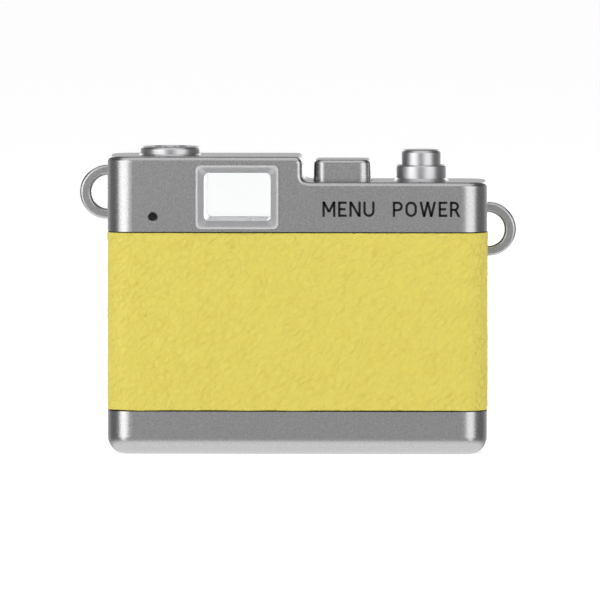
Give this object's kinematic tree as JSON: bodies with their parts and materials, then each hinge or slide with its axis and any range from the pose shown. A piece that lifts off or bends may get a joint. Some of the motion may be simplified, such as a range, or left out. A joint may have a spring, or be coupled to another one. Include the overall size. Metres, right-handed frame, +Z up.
{
  "type": "miniature digital camera",
  "caption": "Miniature retro rangefinder-style digital camera with a see-through finder, push buttons, strap lugs and a leatherette-covered body.",
  "frame": {"origin": "middle of the base, where the camera stands", "axes": "+X to the right seen from behind, +Y the way the lens looks, +Z up"},
  "size_m": [0.051, 0.0186, 0.0358],
  "materials": {
    "silver_cover": "satin metallic paint on moulded ABS",
    "chrome_trim": "chrome-plated plastic",
    "leatherette": "pebbled yellow leatherette",
    "black_plastic": "fine matt moulded",
    "shell_plastic": "plain moulded",
    "clear_window": "clear moulded acrylic",
    "lens_glass": "coated glass",
    "filter_glass": "infrared-cut coating",
    "circuit_board": "green solder mask",
    "chip_resin": "moulded epoxy",
    "stamped_steel": "tin-plated sheet",
    "screw_steel": "zinc-plated",
    "battery_foil": "laminated foil pouch",
    "foam_tape": "foam",
    "lead_sleeve": "soft vinyl",
    "flex_film": "polyimide film",
    "led_resin": "clear epoxy",
    "brass_barrel": "blackened"
  },
  "bodies": {
    "root": {"top_cover": "silver_cover", "bottom_cover": "silver_cover", "finder_tube": "silver_cover", "finder_front_frame": "silver_cover", "strap_lug_left": "silver_cover", "strap_lug_right": "silver_cover", "rewind_disc": "chrome_trim", "power_collar": "chrome_trim", "lens_flange": "chrome_trim", "lens_barrel": "chrome_trim", "lens_grip_ring": "chrome_trim", "leatherette_front": "leatherette", "leatherette_rear": "leatherette", "lens_bezel": "black_plastic", "lens_holder": "black_plastic", "front_shell": "shell_plastic", "rear_shell": "shell_plastic", "mode_switch": "shell_plastic", "power_switch": "shell_plastic", "finder_window": "clear_window", "lens_cover_glass": "clear_window", "light_pipe": "clear_window", "front_lens_element": "lens_glass", "rear_lens_element": "lens_glass", "infrared_filter": "filter_glass", "main_board": "circuit_board", "switch_board": "circuit_board", "processor": "chip_resin", "image_sensor": "chip_resin", "card_socket": "stamped_steel", "usb_port": "stamped_steel", "microphone": "stamped_steel", "shell_screws": "screw_steel", "board_screws": "screw_steel", "battery": "battery_foil", "battery_tape": "foam_tape", "battery_leads": "lead_sleeve", "flex_cable": "flex_film", "status_led": "led_resin", "lens_cell": "brass_barrel"},
    "mode_button": {"mode_button": "silver_cover", "mode_switch_plunger": "chip_resin"},
    "power_button": {"power_button": "chrome_trim", "power_switch_plunger": "chip_resin"},
    "memory_card": {"memory_card": "chip_resin"}
  },
  "joints": [
    {"name": "mode_press", "type": "slide", "parent": "root", "child": "mode_button", "axis": [0, 0, -1], "range_m": [0, 0.0004], "stiffness_N_per_m": 2000, "springref_m": -0.0001},
    {"name": "power_press", "type": "slide", "parent": "root", "child": "power_button", "axis": [0, 0, -1], "range_m": [0, 0.0004], "stiffness_N_per_m": 2000, "springref_m": -0.0001},
    {"name": "card_slide", "type": "slide", "parent": "root", "child": "memory_card", "axis": [0, 0, -1], "range_m": [0, 0.0155]}
  ]
}
